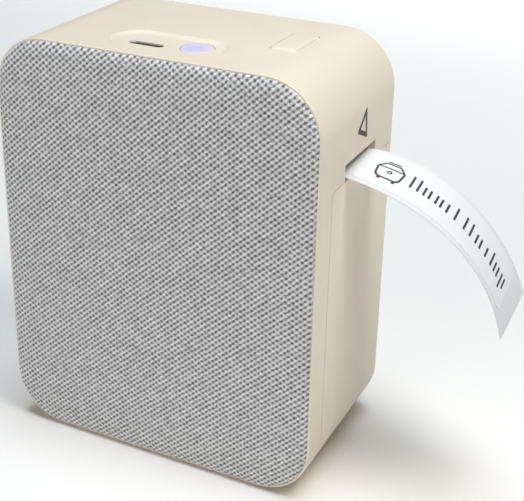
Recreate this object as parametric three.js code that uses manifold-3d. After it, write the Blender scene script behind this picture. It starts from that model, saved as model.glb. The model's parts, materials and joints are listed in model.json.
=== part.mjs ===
// A pocket label maker: an upright rounded box with a fabric front, a cutter button on top,
// a label slot in its right flank and a wrap-around tape door at the back.
// Millimetres. X runs to the right flank, Y to the rear, Z up from the base.
import * as THREE from "three";
import { mergeVertices } from "three/addons/utils/BufferGeometryUtils.js";
import Module from "manifold-3d";

const wasm = await Module();
wasm.setup();

// Driving dimensions
const WIDTH = 80;
const DEPTH = 44;
const HEIGHT = 100;
const CORNER = 13; // radius of the body's corners seen from the front
const WALL = 2;
const LIP = 0.75; // wall left round the fabric front
const GAP = 0.3; // clearance between neighbouring pieces
const ARC_STEPS = 7; // steps of each quarter corner

const FRONT = -DEPTH / 2;
const BACK = DEPTH / 2;
const SIDE = WIDTH / 2;
const INNER = SIDE - WALL;
const REAR_INNER = BACK - WALL;

const TAPE_FRONT = -8; // the label tape's two edges
const TAPE_BACK = 7.5;
const TAPE_THICK = 0.35;
const TAPE_Z = 76.2; // level of the tape at the print line

const PLATEN = { x: 27, z: TAPE_Z - 0.6 - 4, r: 4 };
const ROLL = { x: 11, z: 33, r: 20, core: 9.1, hub: 7.4 };
const CUT_X = 35.5; // plane of the cutter blade
const SLOT = { front: -8.3, back: 9.6, low: 74.3, high: 78.1 };
const DOOR = { front: -15.1, top: 74.3, left: -24.2, low: 2.0, wrap: 30.3 };
const HINGE = { x: -22, y: 20.4, r: 1.5, pin: 0.6 };
const DISH = { x: -1, y: -11.8, length: 27, width: 12.5, depth: 0.6 };
const USB = { x: -5.9, y: -12.8, length: 9, width: 3.2 };
const POWER = { x: 5.5, y: -10.5, r: 3.8 };
const CUTTER = { x: 22.8, y: 2.1, width: 6.5, length: 14, proud: 0.4 };
const CHASSIS = { front: -10.5, back: -9 };
const GEAR = { module: 0.5, front: -14.4, back: -11.4, slack: 0.1 };
const LEVER = { x: 14, z: 90, half: 1.2 };

// Materials
function plain(color, roughness, metalness = 0) {
  return new THREE.MeshStandardMaterial({ color, roughness, metalness });
}
const cream = plain(0xeee4cf, 0.45);
const creamInner = plain(0xe4dac4, 0.55);
const cloth = plain(0xa5a5a5, 0.95);
const blackPlastic = plain(0x2a2b2d, 0.55);
const whitePlastic = plain(0xe9e9e6, 0.4);
const lens = plain(0xd9d4fa, 0.25);
const steel = plain(0xb8bbc0, 0.3, 1);
const aluminium = plain(0xc9ccd1, 0.4, 1);
const ceramic = plain(0xd8d3c6, 0.3);
const rubber = plain(0x33302e, 0.9);
const boardGreen = plain(0x1f6b45, 0.5);
const cellBlue = plain(0x3d6aa8, 0.4);
const labelWhite = plain(0xf4f4f2, 0.6);
const cardboard = plain(0xb9986b, 0.9);
const wireRed = plain(0xa03230, 0.6);

const labelMaker = new THREE.Group();
labelMaker.name = "label_maker";

function piece(name, geometry, material) {
  const mesh = new THREE.Mesh(geometry, material);
  mesh.name = name;
  labelMaker.add(mesh);
  return mesh;
}

// Booleans
function solid(geometry) {
  const bare = geometry.index ? geometry.toNonIndexed() : geometry.clone();
  bare.deleteAttribute("normal");
  bare.deleteAttribute("uv");
  const merged = mergeVertices(bare, 1e-4);
  const vertProperties = merged.attributes.position.array;
  const triVerts = new Uint32Array(merged.index.array);
  return new wasm.Manifold(new wasm.Mesh({ numProp: 3, vertProperties, triVerts }));
}

function geometryOf(made) {
  const mesh = made.getMesh();
  const geometry = new THREE.BufferGeometry();
  geometry.setAttribute("position", new THREE.BufferAttribute(mesh.vertProperties, 3));
  geometry.setIndex(new THREE.BufferAttribute(mesh.triVerts, 1));
  return geometry;
}

function join(...geometries) {
  return geometryOf(geometries.map(solid).reduce((a, b) => a.add(b)));
}

function cut(body, ...tools) {
  return geometryOf(tools.map(solid).reduce((a, b) => a.subtract(b), solid(body)));
}

function common(a, b) {
  return geometryOf(solid(a).intersect(solid(b)));
}

// Basic shapes, each given by where it lies
function block(x0, x1, y0, y1, z0, z1) {
  const box = new THREE.BoxGeometry(x1 - x0, y1 - y0, z1 - z0);
  return box.translate((x0 + x1) / 2, (y0 + y1) / 2, (z0 + z1) / 2);
}

function rodY(x, z, radius, y0, y1, steps = 20) {
  const rod = new THREE.CylinderGeometry(radius, radius, y1 - y0, steps);
  return rod.translate(x, (y0 + y1) / 2, z);
}

function rodZ(x, y, radius, z0, z1, steps = 20) {
  const rod = new THREE.CylinderGeometry(radius, radius, z1 - z0, steps);
  return rod.rotateX(Math.PI / 2).translate(x, y, (z0 + z1) / 2);
}

function ringY(x, z, inner, outer, y0, y1, steps = 24) {
  const profile = [
    [inner, y0],
    [outer, y0],
    [outer, y1],
    [inner, y1],
    [inner, y0],
  ].map(([r, y]) => new THREE.Vector2(r, y));
  return new THREE.LatheGeometry(profile, steps).translate(x, 0, z);
}

// A plate of a shape drawn in X and Z, from y0 to y1
function plateXZ(shape, y0, y1, curveSegments = 6) {
  const plate = new THREE.ExtrudeGeometry(shape, {
    depth: y1 - y0,
    bevelEnabled: false,
    curveSegments,
  });
  return plate.rotateX(Math.PI / 2).translate(0, y1, 0);
}

// A plate of a shape drawn in X and Y, from z0 to z1
function plateXY(shape, z0, z1, curveSegments = 6) {
  const plate = new THREE.ExtrudeGeometry(shape, {
    depth: z1 - z0,
    bevelEnabled: false,
    curveSegments,
  });
  return plate.translate(0, 0, z0);
}

function polygon(points) {
  return new THREE.Shape(points.map(([a, b]) => new THREE.Vector2(a, b)));
}

function roundedShape(x0, x1, y0, y1, r) {
  const shape = new THREE.Shape();
  shape.moveTo(x0 + r, y0);
  shape.lineTo(x1 - r, y0);
  shape.absarc(x1 - r, y0 + r, r, -Math.PI / 2, 0, false);
  shape.lineTo(x1, y1 - r);
  shape.absarc(x1 - r, y1 - r, r, 0, Math.PI / 2, false);
  shape.lineTo(x0 + r, y1);
  shape.absarc(x0 + r, y1 - r, r, Math.PI / 2, Math.PI, false);
  shape.lineTo(x0, y0 + r);
  shape.absarc(x0 + r, y0 + r, r, Math.PI, 1.5 * Math.PI, false);
  return shape;
}

function pill(x, y, length, width) {
  return roundedShape(x - length / 2, x + length / 2, y - width / 2, y + width / 2, width / 2 - 0.01);
}

function hole(shape, x, z, r) {
  const path = new THREE.Path();
  path.absarc(x, z, r, 0, 2 * Math.PI, true);
  shape.holes.push(path);
}

function tube(points, radius, steps) {
  const path = new THREE.CatmullRomCurve3(points.map((p) => new THREE.Vector3(...p)));
  const section = new THREE.Shape();
  section.absarc(0, 0, radius, 0, 2 * Math.PI, false);
  return new THREE.ExtrudeGeometry(section, { extrudePath: path, steps, curveSegments: 3 });
}

// The body's outline, moved in by inset, as points that run round it
function bodyOutline(inset) {
  const radius = CORNER - inset;
  const across = SIDE - CORNER;
  const centres = [
    [across, CORNER, -Math.PI / 2],
    [across, HEIGHT - CORNER, 0],
    [-across, HEIGHT - CORNER, Math.PI / 2],
    [-across, CORNER, Math.PI],
  ];
  const points = [];
  for (const [x, z, start] of centres) {
    for (let i = 0; i <= ARC_STEPS; i++) {
      const angle = start + (i / ARC_STEPS) * (Math.PI / 2);
      points.push([x + radius * Math.cos(angle), z + radius * Math.sin(angle)]);
    }
  }
  return points;
}

// A closed body through sections [y, inset] of the body's outline, front to rear
function bodyLoft(sections) {
  const positions = [];
  const indices = [];
  const ring = bodyOutline(0).length;
  for (const [y, inset] of sections) {
    for (const [x, z] of bodyOutline(inset)) positions.push(x, y, z);
  }
  for (let s = 0; s + 1 < sections.length; s++) {
    for (let i = 0; i < ring; i++) {
      const next = (i + 1) % ring;
      const [a, b] = [s * ring + i, s * ring + next];
      const [d, c] = [a + ring, b + ring];
      indices.push(a, d, c, a, c, b);
    }
  }
  const last = (sections.length - 1) * ring;
  const front = positions.length / 3;
  positions.push(0, sections[0][0], HEIGHT / 2, 0, sections.at(-1)[0], HEIGHT / 2);
  for (let i = 0; i < ring; i++) {
    const next = (i + 1) % ring;
    indices.push(front, i, next, front + 1, last + next, last + i);
  }
  const geometry = new THREE.BufferGeometry();
  geometry.setAttribute("position", new THREE.Float32BufferAttribute(positions, 3));
  geometry.setIndex(indices);
  return geometry;
}

// Casing: the shell, and the part of it that the tape door takes
function outerBody() {
  return bodyLoft([
    [FRONT, 0.3],
    [FRONT + 0.4, 0],
    [BACK - 2, 0],
    [BACK - 0.6, 0.6],
    [BACK, 2],
  ]);
}

function innerBody() {
  return bodyLoft([
    [FRONT - 1, LIP],
    [FRONT + 3, LIP],
    [FRONT + 3.01, WALL],
    [REAR_INNER, WALL],
  ]);
}

function doorRegion(gap) {
  const right = SIDE + 1;
  const upper = block(DOOR.left + gap, right, DOOR.front + gap, BACK + 1, DOOR.low + gap, DOOR.top - gap);
  const lower = block(DOOR.wrap + gap, right, DOOR.front + gap, BACK + 1, -1, DOOR.low + 1 + gap);
  return join(upper, lower);
}

function mainHousing() {
  const shell = cut(outerBody(), innerBody(), doorRegion(0));
  const top = HEIGHT - WALL - 1;
  const dish = plateXY(pill(DISH.x, DISH.y, DISH.length, DISH.width), HEIGHT - DISH.depth, HEIGHT + 1);
  const port = plateXY(pill(USB.x, USB.y, USB.length, USB.width), top, HEIGHT + 1, 4);
  const lensHole = rodZ(POWER.x, POWER.y, POWER.r + GAP, top, HEIGHT + 1, 24);
  const buttonHole = block(
    CUTTER.x - CUTTER.width / 2 - GAP,
    CUTTER.x + CUTTER.width / 2 + GAP,
    CUTTER.y - CUTTER.length / 2 - GAP,
    CUTTER.y + CUTTER.length / 2 + GAP,
    top,
    HEIGHT + 1,
  );
  const slot = block(INNER - 1, SIDE + 1, SLOT.front, SLOT.back, SLOT.low - 1, SLOT.high);
  const cutShell = cut(shell, dish, port, lensHole, buttonHole, slot);
  const bosses = [
    [-33, 12],
    [-33, 86],
  ].map(([x, z]) => rodY(x, z, 2.6, CHASSIS.back + GAP, REAR_INNER + 0.5, 12));
  const foot = block(25, 29.5, CHASSIS.back + GAP, -2, WALL - 0.5, 10);
  const knuckleFoot = block(DOOR.left - 2, DOOR.left + 1, REAR_INNER - 1.5, REAR_INNER + 0.4, 19, 57);
  const knuckle = hingeBarrel(19, 57);
  const joined = join(cutShell, ...bosses, foot, knuckleFoot, knuckle);
  return cut(joined, pinHole(18, 58), ...screwHoles(-4));
}

const SCREWS = [
  [-33, 12],
  [-33, 86],
  [27.2, 7],
];

function screwHoles(back) {
  return SCREWS.map(([x, z]) => rodY(x, z, 1.2, CHASSIS.front - 3, back, 12));
}

function hingeBarrel(z0, z1) {
  return rodZ(HINGE.x, HINGE.y, HINGE.r, z0, z1, 16);
}

function pinHole(z0, z1) {
  return rodZ(HINGE.x, HINGE.y, HINGE.pin + GAP, z0, z1, 12);
}

function tapeDoor() {
  const shell = common(cut(outerBody(), innerBody()), doorRegion(GAP));
  const edge = DOOR.left + 4;
  const trimmed = cut(shell, block(DOOR.left - 1, edge, REAR_INNER - 1, BACK + 1, 0, HEIGHT));
  const ends = [
    [DOOR.low + 0.6, 18.5],
    [57.5, DOOR.top - 0.7],
  ];
  const barrels = ends.map(([z0, z1]) => hingeBarrel(z0, z1));
  const webs = ends.map(([z0, z1]) => block(HINGE.x + 0.8, edge + 1, HINGE.y - 1.2, HINGE.y + 1.2, z0, z1));
  const latchRoot = block(36, INNER + 0.5, DOOR.front + GAP, -12, 30, 42);
  const latch = block(36, 37, DOOR.front - 1.3, -12, 31, 41);
  const rib = block(INNER - 0.8, INNER + 0.4, -6, 17, 66, 67.5);
  const joined = join(trimmed, ...barrels, ...webs, latchRoot, latch, rib);
  return cut(joined, pinHole(4, 19), pinHole(57, DOOR.top));
}

function hingePin() {
  return rodZ(HINGE.x, HINGE.y, HINGE.pin, 4.4, 73, 12);
}

// Fabric front: a crowned plate with the cloth wrapped over its rim
const CLOTH_INSET = LIP + GAP;
const CLOTH_THICK = 0.6;

function crowned(inset, back, lift) {
  return bodyLoft([
    [FRONT - 1.6 + lift, 14 * 0.9],
    [FRONT - 1.45 + lift, 7],
    [FRONT - 1.2 + lift, inset + 1.9],
    [FRONT - 0.8 + lift, inset + 0.5],
    [FRONT - 0.1 + lift, inset],
    [back, inset],
  ]);
}

function frontPlate() {
  const inset = CLOTH_INSET + CLOTH_THICK + GAP;
  return crowned(inset, FRONT + 2.7, CLOTH_THICK + GAP);
}

function grilleCloth() {
  const skin = crowned(CLOTH_INSET, FRONT + 2.7, 0);
  const inside = crowned(CLOTH_INSET + CLOTH_THICK, FRONT + 3.5, CLOTH_THICK);
  return cut(skin, inside);
}

// Top controls
function powerButton() {
  const cap = rodZ(POWER.x, POWER.y, POWER.r, HEIGHT - 2.4, HEIGHT - DISH.depth + 0.1, 24);
  const flange = rodZ(POWER.x, POWER.y, POWER.r + 0.9, HEIGHT - 3.6, HEIGHT - WALL - 0.4, 24);
  const stem = rodZ(POWER.x, POWER.y, 1.1, 94.3, HEIGHT - 3, 12);
  return join(cap, flange, stem);
}

function usbSocket() {
  const [x, y] = [USB.x, USB.y];
  const shell = plateXY(pill(x, y, USB.length - 0.7, USB.width - 0.7), 91.4, HEIGHT - DISH.depth - 0.2, 4);
  const mouth = plateXY(pill(x, y, USB.length - 1.3, USB.width - 1.3), 93, HEIGHT, 4);
  return cut(shell, mouth);
}

function usbTongue() {
  return block(USB.x - 3, USB.x + 3, USB.y - 0.35, USB.y + 0.35, 93.3, 98.4);
}

const TOP_BOARD = { low: 89.9, high: 91.1 };

function topBoard() {
  const shape = roundedShape(-13, 13.4, -18.3, -6, 1);
  hole(shape, -10.8, -8.2, 0.8);
  return plateXY(shape, TOP_BOARD.low, TOP_BOARD.high, 4);
}

function tactSwitch() {
  const [x, y] = [POWER.x, POWER.y];
  const can = block(x - 2.6, x + 2.6, y - 2.6, y + 2.6, TOP_BOARD.high + 0.1, 92.8);
  return join(can, rodZ(x, y, 1.2, 92.5, 93.5, 12));
}

function cutterButton() {
  const [hx, hy] = [CUTTER.width / 2, CUTTER.length / 2];
  const [x, y] = [CUTTER.x, CUTTER.y];
  const cap = plateXY(roundedShape(x - hx, x + hx, y - hy, y + hy, 1), 97.2, HEIGHT + CUTTER.proud, 4);
  const flange = block(x - hx - 0.9, x + hx + 0.9, y - hy - 0.9, y + hy + 0.9, 96.6, HEIGHT - WALL - 0.3);
  const stem = block(x - 1.4, x + 1.4, y - 1.4, y + 1.4, LEVER.z + LEVER.half + 0.4, 97);
  return join(cap, flange, stem);
}

function helix(x, y, radius, wire, z0, z1, turns) {
  const points = [];
  const count = turns * 8;
  for (let i = 0; i <= count; i++) {
    const angle = (i / 8) * 2 * Math.PI;
    const z = z0 + wire + ((z1 - z0 - 2 * wire) * i) / count;
    points.push([x + radius * Math.cos(angle), y + radius * Math.sin(angle), z]);
  }
  return tube(points, wire, count);
}

// Press cutter: button, lever, blade carriage and blade
function cutterLever() {
  const { x, z, half } = LEVER;
  const shape = roundedShape(x - 2.4, 33, z - half, z + half, half - 0.05);
  hole(shape, x, z, 0.8);
  return plateXZ(shape, CUTTER.y - 3, CUTTER.y + 3, 4);
}

function leverPin() {
  return rodY(LEVER.x, LEVER.z, 0.5, CHASSIS.back + GAP, CUTTER.y + 6, 12);
}

function bladeCarriage() {
  const top = LEVER.z - LEVER.half - 0.4;
  const beam = block(CUT_X - 1.4, CUT_X + 1.4, -8.4, 8.6, 85, top);
  const lug = block(29.5, CUT_X, CUTTER.y - 3, CUTTER.y + 3, 86.4, top);
  return join(beam, lug);
}

function cutterBlade() {
  const edge = polygon([
    [-8.4, 77.0],
    [8.6, 78.6],
    [8.6, 84.7],
    [-8.4, 84.7],
  ]);
  const plate = new THREE.ExtrudeGeometry(edge, { depth: 0.6, bevelEnabled: false });
  // Shape X runs along Y, shape Y along Z, and the thickness along X
  plate.rotateX(Math.PI / 2);
  plate.rotateZ(Math.PI / 2);
  return plate.translate(CUT_X - 0.3, 0, 0);
}

function cutterAnvil() {
  return block(CUT_X + 0.6, CUT_X + 2.1, -8.4, 8.6, 70.4, TAPE_Z - TAPE_THICK / 2 - GAP);
}

// Frame that holds the mechanism
const GEAR_TEETH = { platen: 24, idler: 30, motor: 12 };
const pitchRadius = (teeth) => (teeth * GEAR.module) / 2;

function meshedCentre(from, fromTeeth, toTeeth, angle) {
  const reach = pitchRadius(fromTeeth) + pitchRadius(toTeeth) + GEAR.slack;
  return { x: from.x + reach * Math.cos(angle), z: from.z + reach * Math.sin(angle), angle };
}

const degrees = Math.PI / 180;
const IDLER_A = meshedCentre(PLATEN, GEAR_TEETH.platen, GEAR_TEETH.idler, 150 * degrees);
const IDLER_B = meshedCentre(IDLER_A, GEAR_TEETH.idler, GEAR_TEETH.idler, 174 * degrees);
const MOTOR = meshedCentre(IDLER_B, GEAR_TEETH.idler, GEAR_TEETH.motor, 190 * degrees);

function chassis() {
  const outline = polygon([
    [-36.4, 9],
    [-32, 4.5],
    [31, 4.5],
    [36.6, 12],
    [36.6, 84],
    [32, 91],
    [14.8, 94.5],
    [14.8, 88],
    [-30, 89.5],
    [-36.5, 87],
  ]);
  hole(outline, PLATEN.x, PLATEN.z, 3.3);
  hole(outline, IDLER_A.x, IDLER_A.z, 1.3);
  hole(outline, IDLER_B.x, IDLER_B.z, 1.3);
  hole(outline, MOTOR.x, MOTOR.z, 3.6);
  for (const [x, z] of SCREWS) hole(outline, x, z, 1.2);
  const window = new THREE.Path([
    new THREE.Vector2(-28, 64),
    new THREE.Vector2(-28, 71),
    new THREE.Vector2(-18, 71),
    new THREE.Vector2(-18, 64),
  ]);
  outline.holes.push(window);
  const plate = plateXZ(outline, CHASSIS.front, CHASSIS.back, 5);
  const bayWall = block(-19.6, -18.2, CHASSIS.back - 0.5, 17, 4, 62);
  return join(plate, bayWall);
}

function mechanismBracket() {
  const side = polygon([
    [20, 63],
    [34.6, 63],
    [34.6, 84],
    [20, 84],
  ]);
  hole(side, PLATEN.x, PLATEN.z, 3.3);
  hole(side, 21.6, 81.2, 0.9);
  const rear = plateXZ(side, 10, 11.2, 5);
  const tie = block(20, 34.6, CHASSIS.back + GAP, 10.2, 62.6, 64);
  return join(rear, tie);
}

function buttonGuide() {
  const { x, y } = CUTTER;
  const shelf = block(x - 5, x + 5, CHASSIS.back + GAP, y + 6, 91.6, 92.4);
  return cut(shelf, block(x - 1.8, x + 1.8, y - 1.8, y + 1.8, 91, 95));
}

function tapeGuide() {
  return rodY(16.3, 70.1, 5.3, CHASSIS.back + GAP, 8.4, 20);
}

// Gears: straight teeth of slightly slim section, so that meshed flanks stay clear
function gearPhase(centre, fromTeeth, toTeeth, fromPhase) {
  const fromPitch = (2 * Math.PI) / fromTeeth;
  const toPitch = (2 * Math.PI) / toTeeth;
  const turns = Math.round((fromPhase - centre.angle) / fromPitch);
  const offset = fromPhase - centre.angle - turns * fromPitch;
  return centre.angle + Math.PI + toPitch / 2 - (offset * fromTeeth) / toTeeth;
}

function gear(centre, teeth, phase, bore) {
  const pitch = pitchRadius(teeth);
  const [tip, root] = [pitch + 0.9 * GEAR.module, pitch - 1.2 * GEAR.module];
  const step = (2 * Math.PI) / teeth;
  const corners = [
    [root, -0.3],
    [tip, -0.1],
    [tip, 0.1],
    [root, 0.3],
  ];
  const points = [];
  for (let i = 0; i < teeth; i++) {
    for (const [radius, share] of corners) {
      const angle = phase + (i + share) * step;
      points.push([centre.x + radius * Math.cos(angle), centre.z + radius * Math.sin(angle)]);
    }
  }
  const shape = polygon(points);
  hole(shape, centre.x, centre.z, bore);
  return plateXZ(shape, GEAR.front, GEAR.back, 4);
}

const SHAFT = 1.2;
const platenPhase = 0;
const idlerAPhase = gearPhase(IDLER_A, GEAR_TEETH.platen, GEAR_TEETH.idler, platenPhase);
const idlerBPhase = gearPhase(IDLER_B, GEAR_TEETH.idler, GEAR_TEETH.idler, idlerAPhase);
const motorPhase = gearPhase(MOTOR, GEAR_TEETH.idler, GEAR_TEETH.motor, idlerBPhase);

function stepperMotor() {
  const can = rodY(MOTOR.x, MOTOR.z, 7.4, CHASSIS.back + GAP, 5, 28);
  const nose = rodY(MOTOR.x, MOTOR.z, 3, CHASSIS.front - 0.2, CHASSIS.back + 1, 20);
  return cut(join(can, nose), rodY(MOTOR.x, MOTOR.z, 1.1, CHASSIS.front - 2, 4, 12));
}

// Print head on its sprung carrier
const HEAD_LOW = TAPE_Z + TAPE_THICK / 2 + GAP;
const HEAD_PIVOT = { x: 21.6, z: 81.2 };

function printHead() {
  return block(23, 31, -8.2, 8.2, HEAD_LOW, HEAD_LOW + 0.9);
}

function headHeatsink() {
  const low = HEAD_LOW + 0.9 + GAP;
  const bar = block(22.6, 31.4, -8.4, 8.4, low, low + 1.4);
  const fins = [24, 26.4, 28.8].map((x) => block(x, x + 0.9, -8.4, 8.4, low + 1, low + 2.5));
  const arm = block(20, 23.4, -8.4, 8.4, low, 82.8);
  return cut(join(bar, arm, ...fins), rodY(HEAD_PIVOT.x, HEAD_PIVOT.z, 0.9, -10, 10, 12));
}

function headPivotPin() {
  return rodY(HEAD_PIVOT.x, HEAD_PIVOT.z, 0.6, CHASSIS.back + GAP, 10.9, 12);
}

function headSpring() {
  const leaf = polygon([
    [17.4, 85.4],
    [31.5, 84.2],
    [31.5, 84.6],
    [17.4, 85.8],
  ]);
  return plateXZ(leaf, -6.6, -1.6);
}

// Electronics
function mainBoard() {
  const board = block(-34, 20, -13.3, -12.1, 17, 61);
  const chips = [
    [-26, -16, 24, 34],
    [-6, 2, 40, 48],
    [6, 14, 22, 27],
  ].map(([x0, x1, z0, z1]) => block(x0, x1, -14.6, -13.2, z0, z1));
  const sockets = [-30, -23.5, -17].map((x) => block(x, x + 5, -15.8, -13.2, 55, 59.5));
  return join(board, ...chips, ...sockets);
}

function battery() {
  return plateXZ(roundedShape(-36, -25.4, 18, 66, 2), -6, 18.1, 4);
}

// Tape: the wound roll, the run to the cutter, and the label that hangs out
function wireLeads(points) {
  return tube(points, 0.7, 22);
}

const RUN = { angle: 60 * degrees, bend: 6, end: CUT_X - 0.8 };

function tapeRun() {
  const dir = { x: Math.cos(RUN.angle), z: Math.sin(RUN.angle) };
  const radius = ROLL.r + 0.5;
  const start = { x: ROLL.x - radius * dir.z, z: ROLL.z + radius * dir.x };
  const rise = TAPE_Z - start.z;
  const corner = start.x + (rise * dir.x) / dir.z;
  const tangent = RUN.bend * Math.tan(RUN.angle / 2);
  const half = TAPE_THICK / 2;
  const centre = { x: corner + tangent, z: TAPE_Z - RUN.bend };
  const shape = new THREE.Shape();
  shape.moveTo(start.x - half * dir.z, start.z + half * dir.x);
  shape.absarc(centre.x, centre.z, RUN.bend + half, Math.PI / 2 + RUN.angle, Math.PI / 2, true);
  shape.lineTo(RUN.end, TAPE_Z + half);
  shape.lineTo(RUN.end, TAPE_Z - half);
  shape.absarc(centre.x, centre.z, RUN.bend - half, Math.PI / 2, Math.PI / 2 + RUN.angle, false);
  shape.lineTo(start.x + half * dir.z, start.z - half * dir.x);
  return plateXZ(shape, TAPE_FRONT, TAPE_BACK, 6);
}

// The two long edges of the hanging label, in X and Z; the rear edge reaches a little further out
const STRIP_START = CUT_X + 0.8;
const FRONT_EDGE = [
  [STRIP_START, TAPE_Z],
  [48.6, TAPE_Z],
  [70.6, 68.5],
  [76.9, 46.1],
];
const REAR_EDGE = [
  [STRIP_START, TAPE_Z],
  [60, TAPE_Z],
  [68, 66.5],
  [76.4, 51.6],
];

function labelStrip() {
  const steps = 20;
  const edges = [FRONT_EDGE, REAR_EDGE].map(
    (points) => new THREE.CubicBezierCurve(...points.map(([a, b]) => new THREE.Vector2(a, b))),
  );
  const depths = [TAPE_FRONT, TAPE_BACK];
  const positions = [];
  for (let i = 0; i <= steps; i++) {
    edges.forEach((edge, side) => {
      const at = edge.getPoint(i / steps);
      const along = edge.getTangent(i / steps);
      for (const offset of [TAPE_THICK / 2, -TAPE_THICK / 2]) {
        positions.push(at.x - along.y * offset, depths[side], at.y + along.x * offset);
      }
    });
  }
  // Each station holds four points: front upper, front lower, rear upper, rear lower
  const around = [0, 2, 3, 1];
  const indices = [];
  for (let i = 0; i < steps; i++) {
    for (let k = 0; k < 4; k++) {
      const a = 4 * i + around[k];
      const b = 4 * i + around[(k + 1) % 4];
      indices.push(a, a + 4, b + 4, a, b + 4, b);
    }
  }
  const end = 4 * steps;
  indices.push(0, 2, 3, 0, 3, 1);
  indices.push(end, end + 3, end + 2, end, end + 1, end + 3);
  const geometry = new THREE.BufferGeometry();
  geometry.setAttribute("position", new THREE.Float32BufferAttribute(positions, 3));
  geometry.setIndex(indices);
  return geometry;
}

function screw(x, z) {
  const head = rodY(x, z, 2, CHASSIS.front - 1.6, CHASSIS.front - GAP, 12);
  return join(head, rodY(x, z, 0.85, CHASSIS.front - 1, -5, 12));
}

// Assembly
piece("main_housing", mainHousing(), cream);
piece("tape_door", tapeDoor(), cream);
piece("door_hinge_pin", hingePin(), steel);
piece("front_plate", frontPlate(), blackPlastic);
piece("grille_cloth", grilleCloth(), cloth);

piece("power_button", powerButton(), lens);
piece("power_switch", tactSwitch(), steel);
piece("usb_socket", usbSocket(), steel);
piece("usb_tongue", usbTongue(), blackPlastic);
piece("top_board", topBoard(), boardGreen);

piece("cutter_button", cutterButton(), cream);
piece("cutter_spring", helix(CUTTER.x, CUTTER.y, 2.6, 0.25, 92.6, 96.4, 3), steel);
piece("button_guide", buttonGuide(), creamInner);
piece("cutter_lever", cutterLever(), whitePlastic);
piece("lever_pin", leverPin(), steel);
piece("blade_carriage", bladeCarriage(), whitePlastic);
piece("cutter_blade", cutterBlade(), steel);
piece("cutter_anvil", cutterAnvil(), steel);

piece("chassis", chassis(), creamInner);
piece("mechanism_bracket", mechanismBracket(), steel);
piece("tape_guide", tapeGuide(), whitePlastic);

piece("platen_roller", ringY(PLATEN.x, PLATEN.z, SHAFT + GAP, PLATEN.r, -8.3, 8.3, 24), rubber);
piece("platen_shaft", rodY(PLATEN.x, PLATEN.z, SHAFT, -14.8, 11.6, 16), steel);
piece("front_bushing", ringY(PLATEN.x, PLATEN.z, SHAFT + 0.1, 3, -10.6, -8.8, 20), whitePlastic);
piece("rear_bushing", ringY(PLATEN.x, PLATEN.z, SHAFT + 0.1, 3, 9.8, 11.4, 20), whitePlastic);
piece("platen_gear", gear(PLATEN, GEAR_TEETH.platen, platenPhase, SHAFT + GAP), whitePlastic);
piece("idler_gear_1", gear(IDLER_A, GEAR_TEETH.idler, idlerAPhase, 1.3), whitePlastic);
piece("idler_gear_2", gear(IDLER_B, GEAR_TEETH.idler, idlerBPhase, 1.3), whitePlastic);
piece("idler_pin_1", rodY(IDLER_A.x, IDLER_A.z, 1, -14.8, -9.2, 12), steel);
piece("idler_pin_2", rodY(IDLER_B.x, IDLER_B.z, 1, -14.8, -9.2, 12), steel);
piece("motor_pinion", gear(MOTOR, GEAR_TEETH.motor, motorPhase, 1.1), steel);
piece("motor_shaft", rodY(MOTOR.x, MOTOR.z, 0.8, -14.6, 3, 12), steel);
piece("stepper_motor", stepperMotor(), aluminium);

piece("print_head", printHead(), ceramic);
piece("head_heatsink", headHeatsink(), aluminium);
piece("head_pivot_pin", headPivotPin(), steel);
piece("head_spring", headSpring(), steel);

piece("main_board", mainBoard(), boardGreen);
piece("battery", battery(), cellBlue);
piece("gap_sensor", block(16.6, 19.6, -3, 3, 76.8, 79.2), blackPlastic);
const batteryRoute = [
  [-29, 4, 67],
  [-27, -4, 69],
  [-26, -9.8, 68.5],
  [-26.5, -13.6, 64],
  [-27.5, -14.6, 60.2],
];
piece("battery_leads", wireLeads(batteryRoute), wireRed);
const motorRoute = [
  [-18.6, -2, 78],
  [-21.5, -5, 73.5],
  [-22, -9.8, 67.5],
  [-21.5, -13.6, 64],
  [-21, -14.6, 60.2],
];
piece("motor_leads", wireLeads(motorRoute), wireRed);

piece("label_roll", ringY(ROLL.x, ROLL.z, ROLL.core + GAP, ROLL.r, TAPE_FRONT, TAPE_BACK, 36), labelWhite);
const ROLL_BORE = ROLL.hub + GAP;
piece("roll_core", ringY(ROLL.x, ROLL.z, ROLL_BORE, ROLL.core, TAPE_FRONT, TAPE_BACK, 24), cardboard);
piece("roll_spindle", ringY(ROLL.x, ROLL.z, 4, ROLL.hub, CHASSIS.back + GAP, 9, 24), whitePlastic);
piece("tape_run", tapeRun(), labelWhite);
piece("label_strip", labelStrip(), labelWhite);
SCREWS.forEach(([x, z], i) => piece("chassis_screw_" + (i + 1), screw(x, z), steel));

export default labelMaker;
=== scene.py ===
"""Looks of the pocket label maker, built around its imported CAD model. Metres, +Z up, fabric front at -Y."""

import json
import math

import bmesh
import bpy
import numpy as np
from mathutils import Matrix, Vector


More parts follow.
